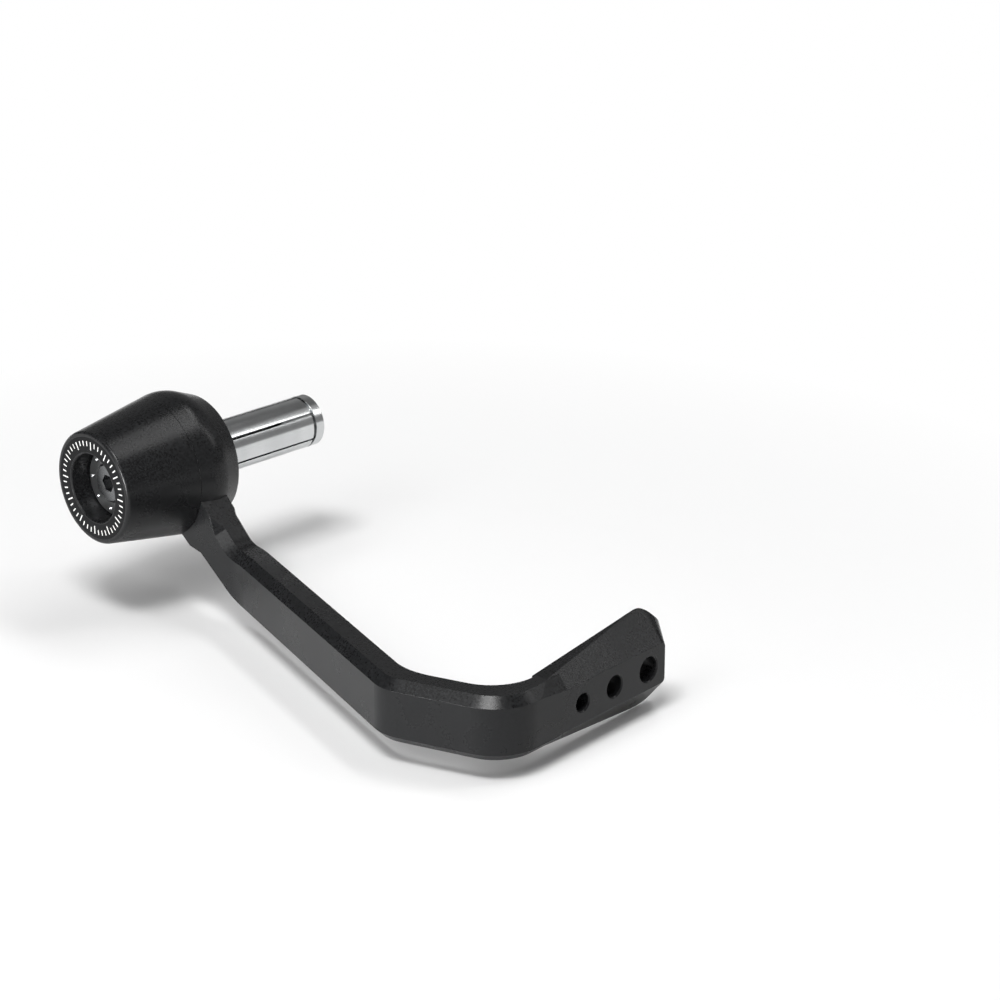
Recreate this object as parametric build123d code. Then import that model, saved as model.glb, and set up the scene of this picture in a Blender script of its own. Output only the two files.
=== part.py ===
"""Brake lever guard for the end of a 22 mm motorbike handlebar.

The hub axis is X, and the origin is the middle of the face that seats on the end of the bar.
+X runs into the bar, -Y points ahead of the bike and +Z is up. Lengths are millimetres.
"""
from build123d import *

import math
import os

# Hub: the ring of the arm and the nose cone outboard of it
ring_length = 13.8            # along the axis, from the bar seat to the parting plane
seat_face_d = 31.4            # flat face round the flange
shoulder_length = 7.6         # bevel from the seat face up to the shoulder
shoulder_d = 37.6             # where the bevel meets the hub's taper
shoulder_r = 9.0              # rounding of the shoulder
seat_edge_r = 0.8             # rounding of the seat face's rim
parting_d = 35.5              # hub at the parting plane
nose_length = 20.3            # nose cone, from the parting plane to its face
nose_face_d = 28.8            # front face of the nose before its rim is rounded
nose_edge_r = 0.9             # rounding of that rim
recess_d = 17.6               # recess for the washer and the key
recess_edge = 0.3             # bevel round the recess mouth
parting_edge = 0.12           # bevels that make the parting line

# Handlebar seat: the flanged bush in the ring
flange_d = 23.0               # polished disc, set flush in the ring
flange_length = 2.6           # thickness of the disc
flange_gap = 0.05             # running fit of the disc in the ring, on radius
stub_d = 15.0                 # stub that centres the ring and the nose cone
stub_reach = 5.0              # how far the stub enters the nose cone
stub_gap = 0.05               # running fit of the stub, on radius
stub_end_gap = 0.3            # room past the stub's end
flange_edge = 0.2             # bevel on the disc's rim

# Expander: the slotted sleeve and the wedge nut
sleeve_d = 13.6               # slides into a 14 mm bore
sleeve_length = 32.8          # from the flange to the end of the slotted sleeve
sleeve_bore_d = 9.4           # plain bore
sleeve_edge = 0.5             # bevel at the nut end
spigot_d = 13.0               # end of the sleeve that is seated in the flange
spigot_length = 1.2           # how deep it is seated
spigot_gap = 0.05             # running fit of that end, on radius
spigot_mouth = 0.45           # bevel round its seat
slot_count = 6                # slots round the sleeve
slot_width = 0.7              # width of a slot
slot_root = 2.2               # unslotted collar at the flange
slot_turn = 25.0              # first slot, turned from +Y towards +Z, in degrees
wedge_length = 9.0            # taper of the nut, inside the sleeve
wedge_d = 11.6                # taper at the sleeve's end
nut_gap = 0.4                 # groove between the sleeve and the nut's rim
nut_rim_length = 3.0          # rim of the nut
nut_edge = 0.5                # bevel on the nut's end

# Clamp bolt and its washer
bolt_d = 6.0                  # M6 shank
bolt_gap = 0.2                # clearance of the bolt in the pieces it passes, on radius
bolt_end_reach = 2.9          # end of the bolt past the nut
bolt_end_edge = 0.6           # bevel on the bolt's end
head_d = 10.0                 # low socket head
head_length = 4.0             # height of the head
head_edge = 0.4               # bevel on the head
head_proud = 0.6              # head above the washer's face
head_gap = 0.2                # room round the head, on radius
key_size = 4.0                # hexagon socket, across flats
key_depth = 2.6               # depth of the socket
washer_d = 17.2               # washer in the recess
washer_length = 5.0           # thickness of the washer
washer_sink = 5.3             # nose face down to the washer's face
washer_edge = 0.4             # bevel on the washer's rim
dimple_count = 8              # dimples round the washer
dimple_pcd = 13.6             # circle that they lie on
dimple_d = 1.3                # width of a dimple
dimple_depth = 0.4            # depth of a dimple

# Arm seen from above: outer face, as runs and the corners between them
neck_width = 8.0              # neck, along the hub axis
neck_reach = 31.0             # from the hub axis to the first corner
long_run = 80.5               # first corner to second corner
long_heading = -15.5          # outward of straight ahead, in degrees
long_width = 8.0              # thickness of the long run
short_run = 31.8              # second corner to third corner
short_heading = 22.2          # inward of straight ahead, in degrees
short_width = 7.6             # thickness of the short run
tip_heading = 94.6            # inward of straight ahead, in degrees
tip_width = 6.6               # thickness of the tip
first_bend_r = 22.0           # outer face at the first corner
first_bend_inner_r = 22.0     # inner face at the first corner
second_bend_r = 11.0          # outer face at the second corner
second_bend_inner_r = 16.0    # inner face at the second corner
third_bend_r = 13.0           # outer face at the third corner
third_bend_inner_r = 12.2     # inner face at the third corner

# Arm seen from the side
blade_top = -14.4             # top of the blade at the neck, below the hub axis
blade_drop = 0.7              # fall of the blade's top from the neck to the tip
blade_root_height = 15.3      # height of the blade where the neck meets it
blade_tip_height = 16.0       # height of the blade where the tip starts
neck_top_drop = 42.5          # slope of the neck's top, in degrees
neck_top_offset = 8.45        # its line from the hub axis, square to the slope
neck_bottom_drop = 35.3       # slope of the neck's underside, in degrees
neck_bottom_offset = 7.5      # its line from the hub axis, square to the slope
neck_top_r = 7.0              # rounding between the neck's top and the blade's
neck_bottom_r = 14.0          # rounding between the neck's underside and the blade's

# Edges of the arm
outer_top_edge = 2.3          # bevel on the outer top edge
outer_bottom_edge = 2.0       # bevel on the outer bottom edge
inner_edge = 0.75             # bevels on the inner edges
root_reach = 20.0             # the neck's edges stay square this far from the hub axis
root_runout = 20.0            # slope that the bevels start with, in degrees

# Tip, seen from the front: a plate that spreads towards its end
tip_middle = 8.35             # blade's top down to the middle of the tip
tip_rise_start = 15.2         # third corner to where the tip starts to spread
tip_corner_setback = 5.7      # plate's end back to its widest place
tip_corner_height = 26.2      # height of the plate there
tip_corner_r = 5.5            # rounding of those corners
tip_end_height = 15.0         # height of the plate's end
tip_end_r = 3.0               # rounding of the end's corners
tip_face_length = 55.3        # third corner to the end of the front face
tip_face_height = 10.4        # height of the front face
tip_face_r = 1.2              # rounding of the front face's corners
tip_bevel = 3.9               # bevel from the front face to the end
tip_rim = 1.6                 # square rim of the end, behind its bevel
tip_slope = 49.5              # slopes above and below the front face, in degrees
tip_slope_start = 20.0        # third corner to where the slopes reach their depth
tip_runout = 3.8              # how they run out towards the corner, in degrees
hole_ds = (6.2, 5.3, 4.4)     # holes through the tip, from the end inwards
hole_starts = (6.0, 18.4, 29.8)  # from the end of the front face to each hole
hole_edge = 0.3               # bevel round the holes

# Worked out from the sizes above
parting = -ring_length
nose_face = parting - nose_length
washer_face = nose_face + washer_sink
washer_seat = washer_face + washer_length
head_face = washer_face - head_proud
head_seat = head_face + head_length
stub_end = parting - stub_reach
sleeve_end = sleeve_length
nut_rim = sleeve_end + nut_gap
nut_end = nut_rim + nut_rim_length
bolt_end = nut_end + bolt_end_reach
bolt_hole_d = bolt_d + 2 * bolt_gap
blade_tip_top = blade_top - blade_drop
tip_z = blade_tip_top - tip_middle
AXIS = Axis.X
CLEAR = 200.0                 # reach of cutting blocks, past the whole part


def turned(points: list[tuple[float, float]]) -> Part:
    """Solid turned about the hub axis from an outline of (along the axis, radius) points."""
    outline = Polyline(*points, close=True)
    return revolve(make_face(outline), AXIS)


def rod(start: float, end: float, diameter: float) -> Part:
    """Cylinder on the hub axis between two stations."""
    place = Plane(origin=(start, 0, 0), x_dir=(0, 1, 0), z_dir=(1, 0, 0))
    return extrude(place * Circle(diameter / 2), end - start)


def rims(solid: Part, station: float, diameter: float) -> ShapeList[Edge]:
    """Circular edges of a turned solid at one station and diameter."""
    edges = solid.edges().filter_by(GeomType.CIRCLE)
    return edges.filter_by(
        lambda e: abs(e.arc_center.X - station) < 0.01 and abs(e.radius - diameter / 2) < 0.01
    )


def heading(degrees: float) -> Vector:
    """Level direction, measured from straight ahead (-Y) towards the bike (+X)."""
    turn = math.radians(degrees)
    return Vector(math.sin(turn), -math.cos(turn), 0)


def crossing(point_a: Vector, dir_a: Vector, point_b: Vector, dir_b: Vector) -> Vector:
    """Point where two level lines cross."""
    gap = point_b - point_a
    along = (gap.X * dir_b.Y - gap.Y * dir_b.X) / (dir_a.X * dir_b.Y - dir_a.Y * dir_b.X)
    return point_a + dir_a * along


def inward(direction: Vector) -> Vector:
    """Level direction to the inner, lever side of a run."""
    return Vector(-direction.Y, direction.X, 0)


# Corners of the arm's outer face, walked from the neck to the tip
neck_dir, long_dir, short_dir, tip_dir = (
    heading(a) for a in (0.0, long_heading, short_heading, tip_heading)
)
root_outer = Vector(parting, 0, 0)
corner_1 = root_outer + neck_dir * neck_reach
corner_2 = corner_1 + long_dir * long_run
corner_3 = corner_2 + short_dir * short_run
tip_end = tip_face_length + tip_bevel
tip_corner_length = tip_end - tip_corner_setback
blade_end = tip_face_length / 2

# The tip seen from the front: x along the tip from the third corner, y up, z ahead of the face
tip_front = inward(tip_dir) * -1
tip_plane = Plane(origin=corner_3 + Vector(0, 0, tip_z), x_dir=tip_dir, z_dir=tip_front)


def outer_path() -> Curve:
    """Outer face of the arm, seen from above."""
    return FilletPolyline(
        root_outer, corner_1, corner_2, corner_3, corner_3 + tip_dir * blade_end,
        radius=[first_bend_r, second_bend_r, third_bend_r],
    )


def inner_path() -> Curve:
    """Inner face of the arm, seen from above."""
    runs = (
        (root_outer, neck_dir, neck_width),
        (corner_1, long_dir, long_width),
        (corner_2, short_dir, short_width),
        (corner_3, tip_dir, tip_width),
    )
    lines = [(start + inward(way) * width, way) for start, way, width in runs]
    corners = [crossing(*a, *b) for a, b in zip(lines, lines[1:])]
    end = corner_3 + tip_dir * blade_end + inward(tip_dir) * tip_width
    return FilletPolyline(
        lines[0][0], *corners, end,
        radius=[first_bend_inner_r, second_bend_inner_r, third_bend_inner_r],
    )


def plan_outline() -> Face:
    """Arm seen from above, from inside the ring to inside the tip."""
    outer, inner = outer_path(), inner_path()
    ends = [Line(outer @ 0, inner @ 0), Line(outer @ 1, inner @ 1)]
    return make_face([*outer.edges(), *inner.edges(), *ends])


def neck_slope(degrees: float) -> tuple[Vector, Vector]:
    """Directions along a line of the neck, down and ahead, and square to it, upwards."""
    drop = math.radians(degrees)
    return Vector(0, -math.cos(drop), -math.sin(drop)), Vector(0, -math.sin(drop), math.cos(drop))


top_along, top_across = neck_slope(neck_top_drop)
bottom_along, bottom_across = neck_slope(neck_bottom_drop)


def top_line() -> Curve:
    """Top of the neck and the blade, seen along the hub axis."""
    start = top_across * neck_top_offset
    bend = start + top_along * ((blade_top - start.Z) / top_along.Z)
    return FilletPolyline(start, bend, Vector(0, corner_3.Y - tip_width, blade_tip_top), radius=neck_top_r)


def bottom_line() -> Curve:
    """Underside of the neck and the blade, seen along the hub axis."""
    start = bottom_across * -neck_bottom_offset
    root_z, tip_z_low = blade_top - blade_root_height, blade_tip_top - blade_tip_height
    bend = start + bottom_along * ((root_z - start.Z) / bottom_along.Z)
    end = Vector(0, corner_3.Y - tip_width, tip_z_low)
    return FilletPolyline(start, bend, end, radius=neck_bottom_r)


def side_outline() -> Face:
    """Arm seen along the hub axis: the sloping neck and the level blade."""
    top, bottom = top_line(), bottom_line()
    ends = [Line(top @ 0, bottom @ 0), Line(top @ 1, bottom @ 1)]
    return make_face([*top.edges(), *bottom.edges(), *ends])


def square_blade() -> Part:
    """Neck and blade with square edges."""
    plan = extrude(Pos(0, 0, -CLEAR) * plan_outline(), 2 * CLEAR, dir=(0, 0, 1))
    side = extrude(Pos(-CLEAR, 0, 0) * side_outline(), 2 * CLEAR, dir=(1, 0, 0))
    return plan & side


def long_edges(solid: Part, path: Curve, line: Curve) -> ShapeList[Edge]:
    """Edges of a solid that follow a path seen from above and a line seen along the hub axis."""
    found = ShapeList()
    for edge in solid.edges():
        point = edge @ 0.5
        on_path = path.distance_to(Vector(point.X, point.Y, 0)) < 0.01
        on_line = line.distance_to(Vector(0, point.Y, point.Z)) < 0.01
        if on_path and on_line:
            found.append(edge)
    return found


def beyond(point: Vector, normal: Vector) -> Part:
    """Everything on the far side of a plane."""
    place = Plane(origin=point, z_dir=normal)
    return place * Pos(0, 0, CLEAR) * Box(2 * CLEAR, 2 * CLEAR, 2 * CLEAR)


def root_block(square: Part) -> Part:
    """Square-edged start of the neck, with the slopes that its bevels start with."""
    block = square - beyond(top_along * 2 * root_reach, top_along)
    runout = math.radians(root_runout)
    lines = ((top_along, top_across, neck_top_offset), (bottom_along, bottom_across * -1, neck_bottom_offset))
    for along, across, offset in lines:
        for side, x in ((Vector(-1, 0, 0), parting), (Vector(1, 0, 0), parting + neck_width)):
            corner = Vector(x, 0, 0) + across * offset + along * root_reach
            outward = (side + across).normalized()
            block -= beyond(corner, outward * math.cos(runout) + along * math.sin(runout))
    return block


def tip_face(depth: float) -> Face:
    """Outline of the tip's slopes, some way behind its front face."""
    side = tip_face_height / 2 + depth * math.tan(math.radians(tip_slope))
    spread = depth * tip_bevel / (tip_width - tip_rim)
    end = tip_face_length + spread
    face = make_face(Polyline((0, -side), (end, -side), (end, side), (0, side), close=True))
    face = fillet(face.vertices().group_by(Axis.X)[-1], tip_face_r + spread)
    return tip_plane * Pos(0, 0, -depth) * face


def tip_block() -> Part:
    """Plate of the tip, with slopes all round its front face."""
    start_top, start_low = tip_middle, tip_middle - blade_tip_height
    corner, end = tip_corner_height / 2, tip_end_height / 2
    outline = Polyline(
        (tip_rise_start, start_low), (tip_corner_length, -corner), (tip_end, -end), (tip_end, end),
        (tip_corner_length, corner), (tip_rise_start, start_top), close=True)
    plate = make_face(outline)
    by_height = plate.vertices().sort_by(Axis.Y)
    plate = fillet([by_height[0], by_height[-1]], tip_corner_r)
    plate = fillet(plate.vertices().group_by(Axis.X)[-1], tip_end_r)
    return extrude(tip_plane * plate, -tip_width) & loft([tip_face(0), tip_face(tip_width)], ruled=True)


def tip_slopes() -> list[Part]:
    """Cutters for the slopes above and below the front face, which run out at the third corner."""
    turn, runout = math.radians(tip_slope), math.radians(tip_runout)
    cutters = []
    for way in (1, -1):
        foot = tip_plane.from_local_coords(Vector(tip_slope_start, way * tip_face_height / 2, 0))
        slope = Vector(0, 0, way) * math.cos(turn) + tip_front * math.sin(turn)
        start = slope * math.cos(runout) + tip_dir * math.sin(runout)
        cutters.append(beyond(foot, slope) & beyond(foot, start))
    return cutters


def tip_holes() -> Part:
    """Cutters for the holes through the tip, with a bevel at each face."""
    cutters = Part()
    for diameter, start in zip(hole_ds, hole_starts):
        spot = tip_plane * Pos(tip_face_length - start, 0)
        cutters += spot * Pos(0, 0, -tip_width / 2) * Cylinder(diameter / 2, 2 * tip_width)
        rim = Cone(diameter / 2, diameter / 2 + 2 * hole_edge, 2 * hole_edge)
        cutters += spot * rim
        cutters += spot * Pos(0, 0, -tip_width) * Rot(180, 0, 0) * rim
    return cutters


def guard_blade() -> Part:
    """Neck, blade and tip with their bevelled edges."""
    square = square_blade()
    outer, inner, top, bottom = outer_path(), inner_path(), top_line(), bottom_line()
    arm = chamfer(long_edges(square, outer, bottom), outer_bottom_edge)
    arm = chamfer(long_edges(arm, outer, top), outer_top_edge)
    arm = chamfer(long_edges(arm, inner, top) + long_edges(arm, inner, bottom), inner_edge)
    arm = arm - tip_slopes() + tip_block()
    return arm + root_block(square)


def ring() -> Part:
    """Hub ring that the neck grows from, with its seats for the bush."""
    bore, seat = stub_d / 2 + stub_gap, flange_d / 2 + flange_gap
    outline = Polyline(
        (parting, bore), (parting, parting_d / 2), (-shoulder_length, shoulder_d / 2),
        (0, seat_face_d / 2), (0, seat), (-flange_length, seat), (-flange_length, bore),
        close=True)
    face = make_face(outline)
    corners = face.vertices()
    shoulder = corners.sort_by_distance((-shoulder_length, shoulder_d / 2))[0]
    face = fillet(shoulder, shoulder_r)
    rim = face.vertices().sort_by_distance((0, seat_face_d / 2))[0]
    face = fillet(rim, seat_edge_r)
    return revolve(face, AXIS)


def guard_arm() -> Part:
    """Ring, neck, blade and tip: one piece."""
    bore = rod(parting - CLEAR, -flange_length, stub_d + 2 * stub_gap)
    seat = rod(-flange_length, CLEAR, flange_d + 2 * flange_gap)
    return guard_blade() + ring() - bore - seat - tip_holes()


def nose_cone() -> Part:
    """Tapered nose with a recess in its face."""
    stub_floor = stub_end - stub_end_gap
    bore = stub_d / 2 + stub_gap
    cone = turned([
        (parting, bore), (parting, parting_d / 2), (nose_face, nose_face_d / 2),
        (nose_face, recess_d / 2), (washer_seat, recess_d / 2),
        (washer_seat, bolt_hole_d / 2), (stub_floor, bolt_hole_d / 2), (stub_floor, bore),
    ])
    cone = fillet(rims(cone, nose_face, nose_face_d), nose_edge_r)
    cone = chamfer(rims(cone, nose_face, recess_d), recess_edge)
    return chamfer(rims(cone, parting, parting_d), parting_edge)


def seat_bush() -> Part:
    """Flange that the bar's end seats on, with a stub that centres the hub's pieces."""
    spigot_seat = spigot_d + 2 * spigot_gap
    bush = turned([
        (0, spigot_seat / 2), (0, flange_d / 2), (-flange_length, flange_d / 2),
        (-flange_length, stub_d / 2), (stub_end, stub_d / 2), (stub_end, bolt_hole_d / 2),
        (-spigot_length, bolt_hole_d / 2), (-spigot_length, spigot_seat / 2),
    ])
    bush = chamfer(rims(bush, 0, spigot_seat), spigot_mouth)
    return chamfer(rims(bush, 0, flange_d), flange_edge)


def expander_sleeve() -> Part:
    """Slotted sleeve that the wedge nut spreads in the bar."""
    wedge_start = sleeve_end - wedge_length
    sleeve = turned([
        (-spigot_length, sleeve_bore_d / 2), (-spigot_length, spigot_d / 2), (0, spigot_d / 2),
        (0, sleeve_d / 2), (sleeve_end, sleeve_d / 2),
        (sleeve_end, wedge_d / 2), (wedge_start, sleeve_bore_d / 2),
    ])
    sleeve = chamfer(rims(sleeve, sleeve_end, sleeve_d), sleeve_edge)
    length = sleeve_end - slot_root
    slot = Pos(slot_root + length, sleeve_d / 2, 0) * Box(2 * length, sleeve_d, slot_width)
    for turn in range(slot_count):
        sleeve -= Rot(slot_turn + 360 / slot_count * turn, 0, 0) * slot
    return sleeve


def wedge_nut() -> Part:
    """Nut whose taper is drawn into the sleeve."""
    wedge_start = sleeve_end - wedge_length
    nut = turned([
        (wedge_start, bolt_d / 2), (wedge_start, sleeve_bore_d / 2),
        (sleeve_end, wedge_d / 2), (nut_rim, wedge_d / 2), (nut_rim, sleeve_d / 2),
        (nut_end, sleeve_d / 2), (nut_end, bolt_d / 2),
    ])
    return chamfer(rims(nut, nut_end, sleeve_d), nut_edge)


def head_washer() -> Part:
    """Cup washer in the nose's recess, with dimples round the bolt's head."""
    well = head_d / 2 + head_gap
    washer = turned([
        (washer_face, well), (washer_face, washer_d / 2), (washer_seat, washer_d / 2),
        (washer_seat, bolt_hole_d / 2), (head_seat, bolt_hole_d / 2), (head_seat, well),
    ])
    washer = chamfer(rims(washer, washer_face, washer_d), washer_edge)
    spot = Pos(washer_face, 0, dimple_pcd / 2) * Rot(0, 90, 0)
    dimple = spot * Cone(dimple_d, 0, 2 * dimple_depth)
    return washer - [Rot(360 / dimple_count * turn, 0, 0) * dimple for turn in range(dimple_count)]


def clamp_bolt() -> Part:
    """Low-head socket screw that draws the whole stack together."""
    bolt = turned([
        (head_face, 0), (head_face, head_d / 2), (head_seat, head_d / 2),
        (head_seat, bolt_d / 2), (bolt_end, bolt_d / 2), (bolt_end, 0),
    ])
    bolt = chamfer(rims(bolt, head_face, head_d), head_edge)
    bolt = chamfer(rims(bolt, bolt_end, bolt_d), bolt_end_edge)
    place = Plane(origin=(head_face, 0, 0), x_dir=(0, 1, 0), z_dir=(1, 0, 0))
    socket = RegularPolygon(key_size / 2, 6, major_radius=False)
    return bolt - extrude(place * socket, key_depth)


PIECES = (
    guard_arm, nose_cone, seat_bush, expander_sleeve, wedge_nut, head_washer, clamp_bolt,
)

if __name__ == "__main__":
    os.makedirs("parts", exist_ok=True)
    for piece in PIECES:
        solid = piece()
        solid.label = piece.__name__
        print(piece.__name__, round(solid.volume, 1), solid.is_valid, len(solid.solids()))
        export_step(solid, f"parts/{piece.__name__}.step")
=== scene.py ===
"""Looks and studio for the brake lever guard.

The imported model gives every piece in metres: the hub axis is X, +X runs into the handlebar, -Y points
ahead of the bike and +Z is up. The nodes keep their shape and get their finishes here. The nose gets a
printed scale on a dark ground, and a clamp bolt with its thread stands in for the plain one.
"""
import logging
import math
from dataclasses import dataclass, field
from enum import Enum
from typing import Any, Union

import bmesh
import bpy
from mathutils import Euler, Matrix, Vector


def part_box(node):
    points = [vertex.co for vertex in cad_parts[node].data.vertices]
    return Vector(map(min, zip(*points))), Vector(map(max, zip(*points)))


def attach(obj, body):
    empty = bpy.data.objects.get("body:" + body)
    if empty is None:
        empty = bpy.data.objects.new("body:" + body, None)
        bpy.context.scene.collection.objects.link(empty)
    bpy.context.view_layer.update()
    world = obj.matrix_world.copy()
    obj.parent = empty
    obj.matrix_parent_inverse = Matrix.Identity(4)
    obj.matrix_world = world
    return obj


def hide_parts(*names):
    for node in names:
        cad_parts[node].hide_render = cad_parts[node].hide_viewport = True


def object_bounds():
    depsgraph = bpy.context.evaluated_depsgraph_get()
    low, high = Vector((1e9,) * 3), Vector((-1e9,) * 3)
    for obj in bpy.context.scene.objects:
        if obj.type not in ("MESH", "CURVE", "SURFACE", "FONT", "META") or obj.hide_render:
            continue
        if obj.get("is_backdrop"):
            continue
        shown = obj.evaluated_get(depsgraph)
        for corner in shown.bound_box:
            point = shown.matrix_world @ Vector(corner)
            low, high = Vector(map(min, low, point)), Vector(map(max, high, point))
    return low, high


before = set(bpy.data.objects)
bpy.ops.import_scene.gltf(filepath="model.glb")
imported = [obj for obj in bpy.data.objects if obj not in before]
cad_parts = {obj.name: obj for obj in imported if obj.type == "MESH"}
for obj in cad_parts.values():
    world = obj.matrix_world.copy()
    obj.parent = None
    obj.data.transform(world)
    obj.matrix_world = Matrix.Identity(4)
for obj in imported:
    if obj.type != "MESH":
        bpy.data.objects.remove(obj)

MM = 0.001
ROOT = "root"
HUB_CENTRE = (0, 0, 0)
HUB_AXIS = (1, 0, 0)
MERGE_REACH = 1e-7
NOISE_MIDDLE = 0.5
CORNER_SAMPLES = 6

# Sockets of a Mix node that mixes colours
MIX_FACTOR = 0
MIX_FIRST = 6
MIX_SECOND = 7
MIX_RESULT = 2

log = logging.getLogger("lever_guard")

Colour = tuple[float, float, float]
Place = tuple[float, float, float]
Stretch = tuple[float, float, float]
Span = tuple[float, float]
Point = tuple[float, float]
Number = Union[int, float]
Settings = dict[str, Any]
Sockets = dict[Union[str, int], Any]

WHITE: Colour = (1.0, 1.0, 1.0)
DARK: Colour = (0.0, 0.0, 0.0)
EVEN: Stretch = (1.0, 1.0, 1.0)
WHOLE: Span = (0.0, 1.0)


class Way(Enum):
    """Math operations that an expression adds as nodes."""

    ADD = "ADD"
    SUBTRACT = "SUBTRACT"
    MULTIPLY = "MULTIPLY"
    MAXIMUM = "MAXIMUM"


class Value:
    """A socket that carries a number. Python's operators on it add Math nodes."""

    def __init__(self, graph: "Graph", socket: bpy.types.NodeSocket) -> None:
        """Wraps an output socket.

        Args:
            graph: The graph that the socket belongs to.
            socket: The output socket.
        """
        self.graph = graph
        self.socket = socket

    def _math(self, way: Way, first: "Operand", second: "Operand") -> "Value":
        """Adds one Math node.

        Args:
            way: The operation.
            first: Left-hand value.
            second: Right-hand value.

        Returns:
            The node's result.
        """
        return self.graph.value("ShaderNodeMath", {"operation": way.value}, {0: first, 1: second})

    def __add__(self, other: "Operand") -> "Value":
        """Sum."""
        return self._math(Way.ADD, self, other)

    def __radd__(self, other: "Operand") -> "Value":
        """Sum, with a number on the left."""
        return self._math(Way.ADD, other, self)

    def __sub__(self, other: "Operand") -> "Value":
        """Difference."""
        return self._math(Way.SUBTRACT, self, other)

    def __rsub__(self, other: "Operand") -> "Value":
        """Difference, with a number on the left."""
        return self._math(Way.SUBTRACT, other, self)

    def __mul__(self, other: "Operand") -> "Value":
        """Product."""
        return self._math(Way.MULTIPLY, self, other)

    def __rmul__(self, other: "Operand") -> "Value":
        """Product, with a number on the left."""
        return self._math(Way.MULTIPLY, other, self)

    def either(self, other: "Operand") -> "Value":
        """The larger of two values."""
        return self._math(Way.MAXIMUM, self, other)


Operand = Union[Value, Number]


class Graph:
    """Nodes of one material or world."""

    def __init__(self, tree: bpy.types.NodeTree) -> None:
        """Starts with an empty tree.

        Args:
            tree: The tree to fill.
        """
        self.tree = tree
        tree.nodes.clear()

    def node(self, kind: str, settings: Settings, inputs: Sockets) -> bpy.types.Node:
        """Adds a node.

        Args:
            kind: The node's type.
            settings: Properties that are set first.
            inputs: Values, or sockets to link, by the input's name or number.

        Returns:
            The new node.
        """
        node = self.tree.nodes.new(kind)
        for name, setting in settings.items():
            setattr(node, name, setting)
        for key, given in inputs.items():
            socket = given.socket if isinstance(given, Value) else given
            if isinstance(socket, bpy.types.NodeSocket):
                self.tree.links.new(socket, node.inputs[key])
            else:
                node.inputs[key].default_value = socket
        return node

    def value(self, kind: str, settings: Settings, inputs: Sockets, output: Union[str, int] = 0) -> Value:
        """Adds a node and wraps one of its outputs.

        Args:
            kind: The node's type.
            settings: Properties that are set first.
            inputs: Values or sockets to link.
            output: The output's name or number.

        Returns:
            The wrapped output.
        """
        return Value(self, self.node(kind, settings, inputs).outputs[output])

    def place(self, stretch: Stretch = EVEN) -> bpy.types.NodeSocket:
        """Object coordinates, stretched along the axes.

        Args:
            stretch: Factor for each axis.

        Returns:
            The vector socket.
        """
        spot = self.node("ShaderNodeTexCoord", {}, {}).outputs["Object"]
        return self.node("ShaderNodeMapping", {}, {"Vector": spot, "Scale": stretch}).outputs["Vector"]

    def grain(self, scale: float, octaves: float = 2.0, weight: float = 0.5,
              stretch: Stretch = EVEN) -> Value:
        """Noise on Object coordinates.

        Args:
            scale: Features per metre.
            octaves: Finer layers of noise that are added.
            weight: Weight of the finer layers.
            stretch: Factor for each axis.

        Returns:
            The noise, from 0 to 1.
        """
        inputs = {"Vector": self.place(stretch), "Scale": scale, "Detail": octaves, "Roughness": weight}
        return self.value("ShaderNodeTexNoise", {}, inputs, "Fac")

    def rise(self) -> Value:
        """How far the surface faces up: 1 on a level top, 0 on an upright side."""
        facing = self.node("ShaderNodeTexCoord", {}, {}).outputs["Normal"]
        return self.value("ShaderNodeSeparateXYZ", {}, {0: facing}, "Z")

    def band(self, given: Operand, span: Span, result: Span = WHOLE) -> Value:
        """A value carried from one range to another, and held at its ends.

        Args:
            given: The value.
            span: Start and end of the first range.
            result: Results at that start and end.

        Returns:
            The carried value.
        """
        inputs = {"Value": given, "From Min": span[0], "From Max": span[1], "To Min": result[0],
                  "To Max": result[1]}
        return self.value("ShaderNodeMapRange", {"clamp": True}, inputs)

    def mix(self, factor: Operand, first: Colour, second: Colour) -> bpy.types.NodeSocket:
        """Mix of two colours.

        Args:
            factor: 0 for the first colour, 1 for the second.
            first: The first colour.
            second: The second colour.

        Returns:
            The colour socket.
        """
        inputs = {MIX_FACTOR: factor, MIX_FIRST: opaque(first), MIX_SECOND: opaque(second)}
        return self.node("ShaderNodeMix", {"data_type": "RGBA"}, inputs).outputs[MIX_RESULT]

    def bump(self, height: Operand, depth: float, strength: float = 1.0,
             normal: Union[bpy.types.NodeSocket, None] = None) -> bpy.types.NodeSocket:
        """Bump from a height.

        Args:
            height: Height, from 0 to 1.
            depth: Depth of the height, in metres.
            strength: Share of the bump that shows.
            normal: Normal that the bump starts from, or none for the surface's own.

        Returns:
            The normal socket.
        """
        inputs = {"Height": height, "Strength": strength, "Distance": depth}
        if normal is not None:
            inputs["Normal"] = normal
        return self.node("ShaderNodeBump", {}, inputs).outputs["Normal"]

    def soft_corner(self, radius: float) -> bpy.types.NodeSocket:
        """Normal that rounds every edge.

        Args:
            radius: Radius of the rounding, in metres.

        Returns:
            The normal socket.
        """
        corner = self.node("ShaderNodeBevel", {"samples": CORNER_SAMPLES}, {"Radius": radius})
        return corner.outputs["Normal"]


def opaque(colour: Colour) -> tuple[float, ...]:
    """A colour with a full alpha."""
    return (*colour, 1.0)


def new_material(name: str) -> tuple[bpy.types.Material, Graph]:
    """A material with an empty tree.

    Args:
        name: The material's name.

    Returns:
        The material and its graph.
    """
    material = bpy.data.materials.new(name)
    material.use_nodes = True
    return material, Graph(material.node_tree)


def surface(graph: Graph, inputs: Sockets) -> None:
    """Adds the shader and the output.

    Args:
        graph: The material's graph.
        inputs: Inputs of the Principled shader.
    """
    shader = graph.node("ShaderNodeBsdfPrincipled", {}, inputs)
    graph.node("ShaderNodeOutputMaterial", {}, {"Surface": shader.outputs[0]})


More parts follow.
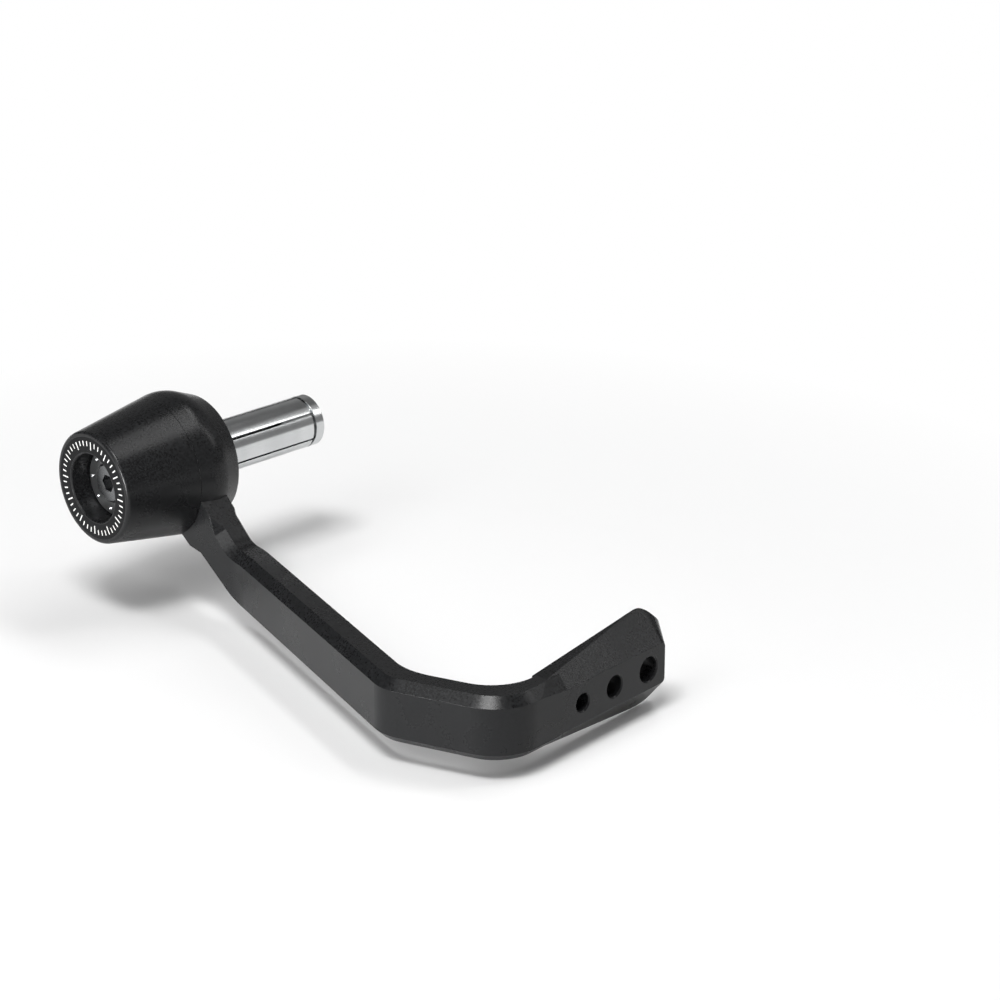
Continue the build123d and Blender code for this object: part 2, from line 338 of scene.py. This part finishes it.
@dataclass(frozen=True)
class BlastedBlack:
    """Black coating over a fine blast: matte, with a grain that is stronger on what faces up."""

    name: str = "blasted_black"
    colour: Colour = (0.0040, 0.0041, 0.0043)
    speck: Colour = (0.0135, 0.0139, 0.0148)
    speck_span: Span = (0.36, 0.66)
    roughness: float = 0.28
    specular: float = 0.23
    grain_size: float = 0.6 * MM
    grain_depth: float = 0.020 * MM
    grain_octaves: float = 3.0
    grain_weight: float = 0.6
    grain_gloss: float = 0.10
    side_grain: float = 0.20
    rise_span: Span = (0.05, 0.45)
    cloud_scale: float = 90.0
    cloud_gloss: float = 0.08
    edge: float = 0.10 * MM

    def material(self) -> bpy.types.Material:
        """The finish as a material."""
        material, graph = new_material(self.name)
        fine = graph.grain(1.0 / self.grain_size, self.grain_octaves, self.grain_weight)
        broad = graph.grain(self.cloud_scale)
        blast = graph.band(graph.rise(), self.rise_span, (self.side_grain, 1.0))
        share = NOISE_MIDDLE + (graph.band(fine, self.speck_span) - NOISE_MIDDLE) * blast
        shade = graph.mix(share, self.colour, self.speck)
        clouds = (broad - NOISE_MIDDLE) * self.cloud_gloss
        grains = (fine - NOISE_MIDDLE) * blast * self.grain_gloss
        rough = self.roughness + clouds + grains
        normal = graph.bump(fine * blast, self.grain_depth, normal=graph.soft_corner(self.edge))
        surface(graph, {"Base Color": shade, "Roughness": rough, "Specular IOR Level": self.specular,
                        "Normal": normal})
        return material


@dataclass(frozen=True)
class TurnedMetal:
    """Bright metal off a lathe, with fine rings round the hub axis."""

    name: str
    colour: Colour
    stain: Colour
    roughness: float
    ring_pitch: float = 0.22 * MM
    ring_depth: float = 0.004 * MM
    ring_weight: float = 0.6
    ring_stretch: Stretch = (1.0, 0.02, 0.02)
    ring_strength: float = 0.35
    ring_gloss: float = 0.08
    smear_scale: float = 160.0
    smear_octaves: float = 3.0
    smear_weight: float = 0.55
    smear_stretch: Stretch = (1.0, 0.35, 0.35)
    smear_gloss: float = 0.10
    stain_span: Span = (0.35, 0.75)
    edge: float = 0.12 * MM

    def material(self) -> bpy.types.Material:
        """The finish as a material."""
        material, graph = new_material(self.name)
        rings = graph.grain(1.0 / self.ring_pitch, weight=self.ring_weight, stretch=self.ring_stretch)
        smear = graph.grain(self.smear_scale, self.smear_octaves, self.smear_weight, self.smear_stretch)
        shade = graph.mix(graph.band(smear, self.stain_span), self.colour, self.stain)
        smears = (smear - NOISE_MIDDLE) * self.smear_gloss
        rough = self.roughness + smears + (rings - NOISE_MIDDLE) * self.ring_gloss
        normal = graph.bump(rings, self.ring_depth, self.ring_strength, graph.soft_corner(self.edge))
        surface(graph, {"Base Color": shade, "Metallic": 1.0, "Roughness": rough, "Normal": normal})
        return material


@dataclass(frozen=True)
class Print:
    """Thin matte print with a slightly broken surface."""

    name: str
    colour: Colour
    worn: Colour
    specular: float
    roughness: float = 0.50
    grain_scale: float = 2400.0
    grain_depth: float = 0.03 * MM
    grain_strength: float = 0.3
    grain_gloss: float = 0.2
    worn_span: Span = (0.50, 0.72)

    def material(self) -> bpy.types.Material:
        """The finish as a material."""
        material, graph = new_material(self.name)
        grain = graph.grain(self.grain_scale)
        shade = graph.mix(graph.band(grain, self.worn_span), self.colour, self.worn)
        rough = self.roughness + grain * self.grain_gloss
        normal = graph.bump(grain, self.grain_depth, self.grain_strength)
        surface(graph, {"Base Color": shade, "Roughness": rough, "Specular IOR Level": self.specular,
                        "Normal": normal})
        return material


BLACK = BlastedBlack()
BRIGHT = TurnedMetal("turned_bright", (0.64, 0.65, 0.655), (0.56, 0.57, 0.575), 0.17)
CUP_STEEL = TurnedMetal("cup_steel", (0.36, 0.365, 0.37), (0.29, 0.294, 0.30), 0.30)
# Steel with a bright plating for the clamp bolt, its colour darkened as painted shade of the nose's recess
# that holds its head.
RECESS_SHADED_STEEL = TurnedMetal("steel_in_painted_shade", (0.24, 0.245, 0.25), (0.18, 0.184, 0.188), 0.26)
WHITE_PRINT = Print("printed_white", (0.74, 0.74, 0.73), (0.55, 0.55, 0.55), 0.40)
BLACK_PRINT = Print("printed_black", (0.0075, 0.0076, 0.0080), (0.0120, 0.0122, 0.0128), 0.08)


def stand(name: str, data: bpy.types.ID) -> bpy.types.Object:
    """Adds an object to the scene.

    Args:
        name: The object's name.
        data: Its mesh, lamp or camera.

    Returns:
        The new object.
    """
    obj = bpy.data.objects.new(name, data)
    bpy.context.scene.collection.objects.link(obj)
    return obj


def finished_mesh(name: str, bm: bmesh.types.BMesh) -> bpy.types.Mesh:
    """Turns a bmesh into a mesh, and frees it.

    Args:
        name: The mesh's name.
        bm: Its shape, in metres.

    Returns:
        The new mesh.
    """
    mesh = bpy.data.meshes.new(name)
    bm.to_mesh(mesh)
    bm.free()
    return mesh


def dress(obj: bpy.types.Object, material: bpy.types.Material) -> None:
    """Gives an object one material, and reports it.

    Args:
        obj: The object.
        material: Its material.
    """
    obj.data.materials.clear()
    obj.data.materials.append(material)
    log.info("%s in %s: %d faces", obj.name, material.name, len(obj.data.polygons))


def add_piece(name: str, bm: bmesh.types.BMesh, material: bpy.types.Material) -> bpy.types.Object:
    """Turns a bmesh into a piece of the part.

    Args:
        name: The piece's name.
        bm: Its shape, in metres, in the part's frame.
        material: Its finish.

    Returns:
        The new object.
    """
    obj = stand(name, finished_mesh(name, bm))
    dress(obj, material)
    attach(obj, ROOT)
    return obj


def spin_outline(bm: bmesh.types.BMesh, outline: list[Point], steps: int) -> None:
    """Spins an outline once round the hub axis.

    Args:
        bm: The bmesh to add to.
        outline: (along the axis, radius) points, in metres.
        steps: Faces round the axis.
    """
    before = set(bm.verts)
    points = [bm.verts.new((x, 0.0, radius)) for x, radius in outline]
    edges = [bm.edges.new(pair) for pair in zip(points, points[1:])]
    bmesh.ops.spin(bm, geom=points + edges, cent=HUB_CENTRE, axis=HUB_AXIS, angle=math.tau, steps=steps,
                   use_merge=True)
    new = [v for v in bm.verts if v not in before]
    bmesh.ops.remove_doubles(bm, verts=new, dist=MERGE_REACH)


@dataclass
class GuardArm:
    """The ring, neck, blade and tip."""

    node: str = "guard_arm"

    def build(self, black: bpy.types.Material) -> None:
        """Dresses the node.

        Args:
            black: The coating.
        """
        dress(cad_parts[self.node], black)


@dataclass
class Nose:
    """The nose cone, its washer and the scale printed round its recess."""

    node: str = "nose_cone"
    washer: str = "head_washer"
    ground_inner: float = 9.3 * MM
    ground_outer: float = 13.2 * MM
    ground_proud: float = 0.010 * MM
    ground_thickness: float = 0.015 * MM
    ground_steps: int = 96
    ticks: int = 48
    ticks_per_long: int = 4
    tick_inner: float = 10.9 * MM
    tick_outer: float = 12.2 * MM
    tick_width: float = 0.30 * MM
    tick_thickness: float = 0.03 * MM
    long_inner: float = 10.1 * MM

    def build(self, black: bpy.types.Material, steel: bpy.types.Material, ground: bpy.types.Material,
              white: bpy.types.Material) -> None:
        """Dresses the nodes and prints the scale.

        Args:
            black: The nose's coating.
            steel: The washer's finish.
            ground: The print's dark ground.
            white: The print.
        """
        dress(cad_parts[self.node], black)
        dress(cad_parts[self.washer], steel)
        self._ground(ground)
        self._scale(white)

    def _ground(self, ground: bpy.types.Material) -> None:
        """Adds the print's ground to the nose's face.

        Args:
            ground: The print's dark ground.
        """
        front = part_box(self.node)[0].x - self.ground_proud
        back = front + self.ground_thickness
        bm = bmesh.new()
        spin_outline(bm, [
            (back, self.ground_inner),
            (front, self.ground_inner),
            (front, self.ground_outer),
            (back, self.ground_outer),
            (back, self.ground_inner),
        ], self.ground_steps)
        bmesh.ops.recalc_face_normals(bm, faces=bm.faces)
        add_piece("nose_ground", bm, ground)

    def _scale(self, white: bpy.types.Material) -> None:
        """Adds the printed ticks to the nose's face.

        Args:
            white: The print.
        """
        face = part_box(self.node)[0].x
        bm = bmesh.new()
        for index in range(self.ticks):
            inner = self.long_inner if index % self.ticks_per_long == 0 else self.tick_inner
            size = Matrix.Diagonal((self.tick_thickness, self.tick_width, self.tick_outer - inner, 1.0))
            shift = Matrix.Translation((face, 0.0, (self.tick_outer + inner) / 2))
            turn = Matrix.Rotation(math.tau * index / self.ticks, 4, "X")
            bmesh.ops.create_cube(bm, size=1.0, matrix=turn @ shift @ size)
        add_piece("nose_scale", bm, white)


@dataclass
class Expander:
    """The bush, the slotted sleeve and the wedge nut."""

    nodes: tuple[str, ...] = ("seat_bush", "expander_sleeve", "wedge_nut")

    def build(self, bright: bpy.types.Material) -> None:
        """Dresses the nodes.

        Args:
            bright: The turned metal.
        """
        for name in self.nodes:
            dress(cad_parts[name], bright)


@dataclass
class ClampBolt:
    """The low-head screw, with a thread on the end that shows.

    The shares are parts of the pitch: half the thread's width at its foot and at its crest, and the plain
    end past it. The land is the radius of the round rim about the socket, as a multiple of key_radius.
    """

    node: str = "clamp_bolt"
    nut: str = "wedge_nut"
    head_radius: float = 5.0 * MM
    head_length: float = 4.0 * MM
    head_edge: float = 0.4 * MM
    shank_radius: float = 3.0 * MM
    thread_root: float = 2.5 * MM
    thread_sink: float = 0.05 * MM
    thread_pitch: float = 1.0 * MM
    foot_share: float = 0.46
    crest_share: float = 0.07
    plain_share: float = 0.5
    end_edge: float = 0.6 * MM
    key_size: float = 4.0 * MM
    key_depth: float = 2.6 * MM
    key_sides: int = 6
    key_land: float = 1.08
    steps: int = 72
    smooth_angle: float = math.radians(30)
    start: float = field(init=False)
    end: float = field(init=False)
    thread_start: float = field(init=False)
    key_radius: float = field(init=False)

    def __post_init__(self) -> None:
        """Reads the bolt's stations from the frame, and works out the hexagon's corner radius."""
        low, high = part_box(self.node)
        self.start = low.x
        self.end = high.x
        self.thread_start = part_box(self.nut)[1].x - self.thread_pitch
        self.key_radius = self.key_size / math.sqrt(3)

    def build(self, shaded_steel: bpy.types.Material) -> None:
        """Models the screw in place of its node.

        Args:
            shaded_steel: The screw's steel, its colour darkened as painted shade of the nose's recess.
        """
        bm = bmesh.new()
        self._body(bm)
        self._socket(bm)
        self._thread(bm)
        bmesh.ops.recalc_face_normals(bm, faces=bm.faces)
        bolt = add_piece("threaded_bolt", bm, shaded_steel)
        bolt.data.shade_smooth()
        bolt.data.set_sharp_from_angle(angle=self.smooth_angle)
        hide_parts(self.node)

    def _body(self, bm: bmesh.types.BMesh) -> None:
        """Head, shank and the core of the thread.

        Args:
            bm: The bmesh to add to.
        """
        seat = self.start + self.head_length
        spin_outline(bm, [
            (self.start, self.key_radius * self.key_land),
            (self.start, self.head_radius - self.head_edge),
            (self.start + self.head_edge, self.head_radius),
            (seat, self.head_radius),
            (seat, self.shank_radius),
            (self.thread_start, self.shank_radius),
            (self.thread_start, self.thread_root),
            (self.end - self.end_edge / 2, self.thread_root),
            (self.end, self.thread_root - self.end_edge / 2),
            (self.end, 0.0),
        ], self.steps)

    def _socket(self, bm: bmesh.types.BMesh) -> None:
        """Hexagon socket in the head.

        Args:
            bm: The bmesh to add to.
        """
        rim = [e for e in bm.edges if e.is_boundary]
        place = Matrix.Translation((self.start, 0, 0)) @ Matrix.Rotation(math.pi / 2, 4, "Y")
        made = bmesh.ops.create_circle(bm, segments=self.key_sides, radius=self.key_radius, cap_ends=False,
                                       matrix=place)
        sides = list({e for v in made["verts"] for e in v.link_edges})
        bmesh.ops.subdivide_edges(bm, edges=sides, cuts=self.steps // self.key_sides - 1)
        mouth = [e for e in bm.edges if e.is_wire]
        bmesh.ops.bridge_loops(bm, edges=rim + mouth)
        walls = bmesh.ops.extrude_edge_only(bm, edges=mouth)["geom"]
        deep = [g for g in walls if isinstance(g, bmesh.types.BMVert)]
        bmesh.ops.translate(bm, verts=deep, vec=(self.key_depth, 0, 0))
        floor = [g for g in walls if isinstance(g, bmesh.types.BMEdge) and g.is_boundary]
        bmesh.ops.edgeloop_fill(bm, edges=floor)

    def _thread(self, bm: bmesh.types.BMesh) -> None:
        """Helical ridge on the end.

        Args:
            bm: The bmesh to add to.
        """
        pitch = self.thread_pitch
        foot = self.thread_root - self.thread_sink
        turns = (self.end - self.plain_share * pitch - self.thread_start) / pitch
        steps = round(turns * self.steps)
        crest = self.shank_radius
        profile = ((-self.foot_share, foot), (-self.crest_share, crest), (self.crest_share, crest),
                   (self.foot_share, foot))
        before = set(bm.verts)
        points = [bm.verts.new((self.thread_start + share * pitch, 0, radius)) for share, radius in profile]
        section = bm.faces.new(points)
        bmesh.ops.spin(bm, geom=points + list(section.edges) + [section], cent=HUB_CENTRE, axis=HUB_AXIS,
                       dvec=(turns * pitch / steps, 0, 0), angle=math.tau * turns, steps=steps)
        self._trim([v for v in bm.verts if v not in before])

    def _trim(self, ridge: list[bmesh.types.BMVert]) -> None:
        """Brings the ridge down to the bevel of the bolt's end.

        Args:
            ridge: The ridge's vertices.
        """
        for vert in ridge:
            room = self.thread_root - self.end_edge / 2 + (self.end - vert.co.x)
            radius = math.hypot(vert.co.y, vert.co.z)
            if radius > room:
                vert.co.y *= room / radius
                vert.co.z *= room / radius


def turn_along(way: Vector) -> Euler:
    """The turn that points a lamp or the camera along a direction."""
    return way.to_track_quat("-Z", "Y").to_euler()


@dataclass(frozen=True)
class Softbox:
    """A rectangular lamp: its place and size in metres, and its power in watts."""

    name: str
    place: Place
    width: float
    height: float
    power: float

    def build(self, target: Place) -> None:
        """Adds the lamp, turned to a point.

        Args:
            target: The point, in metres.
        """
        data = bpy.data.lights.new(self.name, "AREA")
        data.shape = "RECTANGLE"
        data.size = self.width
        data.size_y = self.height
        data.energy = self.power
        lamp = stand(self.name, data)
        lamp.location = self.place
        lamp.rotation_euler = turn_along(Vector(target) - Vector(self.place))


@dataclass
class Studio:
    """Floor, lamps, world and camera, in metres, with the lens and its sensor in millimetres."""

    target: Place = (0.0, -0.06, 0.0)
    eye: Place = (-0.46183, -0.59441, 0.29231)
    look: Place = (0.63947, 0.66989, -0.37725)
    lens: float = 113.49
    sensor: float = 36.0
    view_depth: float = 50.0
    floor_gap: float = 0.2 * MM
    floor_reach: float = 6.0
    floor_colour: Colour = (0.86, 0.86, 0.86)
    floor_fade: Span = (0.11, 0.24)
    wall_side: Place = (0.8, -0.5, 0.2)
    wall_span: Span = (-0.5, 0.2)
    wall_grey: Span = (0.05, 0.27)
    roof_span: Span = (0.50, 0.90)
    roof_share: Span = (1.0, 0.2)
    lamps: tuple[Softbox, ...] = (
        Softbox("key_softbox", (-0.59, -0.44, 1.32), 0.56, 0.30, 14.2),
        Softbox("top_softbox", (-0.62, 0.12, 1.46), 0.90, 0.90, 3.6),
        Softbox("hub_softbox", (0.42, -0.16, 1.12), 0.84, 0.16, 3.2),
        Softbox("side_softbox", (-0.77, -0.24, 0.60), 0.40, 0.40, 2.0),
        Softbox("right_softbox", (0.84, -0.49, 0.75), 0.90, 0.60, 0.5),
        Softbox("sleeve_strip", (0.77, -0.67, 0.845), 0.12, 0.80, 1.6),
        Softbox("low_strip", (-0.86, -0.09, -0.010), 0.44, 0.05, 9.0),
    )

    def build(self) -> None:
        """Builds the whole studio."""
        self._view()
        self._floor()
        self._world()
        for lamp in self.lamps:
            lamp.build(self.target)

    def _view(self) -> None:
        """Camera at the photograph's angle, and the plain view transform."""
        data = bpy.data.cameras.new("camera")
        data.lens = self.lens
        data.sensor_width = self.sensor
        data.sensor_fit = "HORIZONTAL"
        data.clip_end = self.view_depth
        camera = stand("camera", data)
        camera.location = self.eye
        camera.rotation_euler = turn_along(Vector(self.look))
        bpy.context.scene.camera = camera
        bpy.context.scene.view_settings.view_transform = "Standard"

    def _floor(self) -> None:
        """Plain pale floor just under the lowest corner of the part."""
        bm = bmesh.new()
        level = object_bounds()[0][2] - self.floor_gap
        bmesh.ops.create_grid(bm, x_segments=1, y_segments=1, size=self.floor_reach,
                              matrix=Matrix.Translation((0, 0, level)))
        floor = stand("studio_floor", finished_mesh("studio_floor", bm))
        dress(floor, self._floor_material())
        floor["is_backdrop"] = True

    def _floor_material(self) -> bpy.types.Material:
        """Matte near the part, to hold its shadow, and plain white to the eye further out."""
        material, graph = new_material("studio_floor")
        path = graph.node("ShaderNodeLightPath", {}, {})
        seen = Value(graph, path.outputs["Is Camera Ray"])
        seen = seen.either(Value(graph, path.outputs["Is Glossy Ray"]))
        seen = seen.either(Value(graph, path.outputs["Is Transmission Ray"]))
        spot = graph.node("ShaderNodeTexCoord", {}, {}).outputs["Object"]
        away = graph.value("ShaderNodeVectorMath", {"operation": "DISTANCE"},
                           {0: spot, 1: self.target}, "Value")
        fade = graph.band(away, self.floor_fade) * seen
        matte = graph.node("ShaderNodeBsdfDiffuse", {}, {"Color": opaque(self.floor_colour)})
        white = graph.node("ShaderNodeEmission", {}, {"Color": opaque(WHITE), "Strength": 1.0})
        both = graph.node("ShaderNodeMixShader", {}, {0: fade, 1: matte.outputs[0], 2: white.outputs[0]})
        graph.node("ShaderNodeOutputMaterial", {}, {"Surface": both.outputs[0]})
        return material

    def _world(self) -> None:
        """Dark studio room with a grey wall, dimmer overhead, ahead of the bike and to its left."""
        world = bpy.data.worlds.new("studio_room")
        bpy.context.scene.world = world
        world.use_nodes = True
        graph = Graph(world.node_tree)
        way = graph.node("ShaderNodeTexCoord", {}, {}).outputs["Generated"]
        wall = graph.value("ShaderNodeVectorMath", {"operation": "DOT_PRODUCT"},
                           {0: way, 1: self.wall_side}, "Value")
        height = graph.value("ShaderNodeSeparateXYZ", {}, {0: way}, "Z")
        grey = graph.band(wall, self.wall_span, self.wall_grey)
        grey = grey * graph.band(height, self.roof_span, self.roof_share)
        shade = graph.mix(grey, DARK, WHITE)
        room = graph.node("ShaderNodeBackground", {}, {"Color": shade, "Strength": 1.0})
        graph.node("ShaderNodeOutputWorld", {}, {"Surface": room.outputs[0]})


def main() -> None:
    """Builds the looks."""
    logging.basicConfig(level=logging.INFO)
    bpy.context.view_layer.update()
    black = BLACK.material()
    GuardArm().build(black)
    Nose().build(black, CUP_STEEL.material(), BLACK_PRINT.material(), WHITE_PRINT.material())
    Expander().build(BRIGHT.material())
    ClampBolt().build(RECESS_SHADED_STEEL.material())
    Studio().build()


if __name__ == "__main__":
    main()
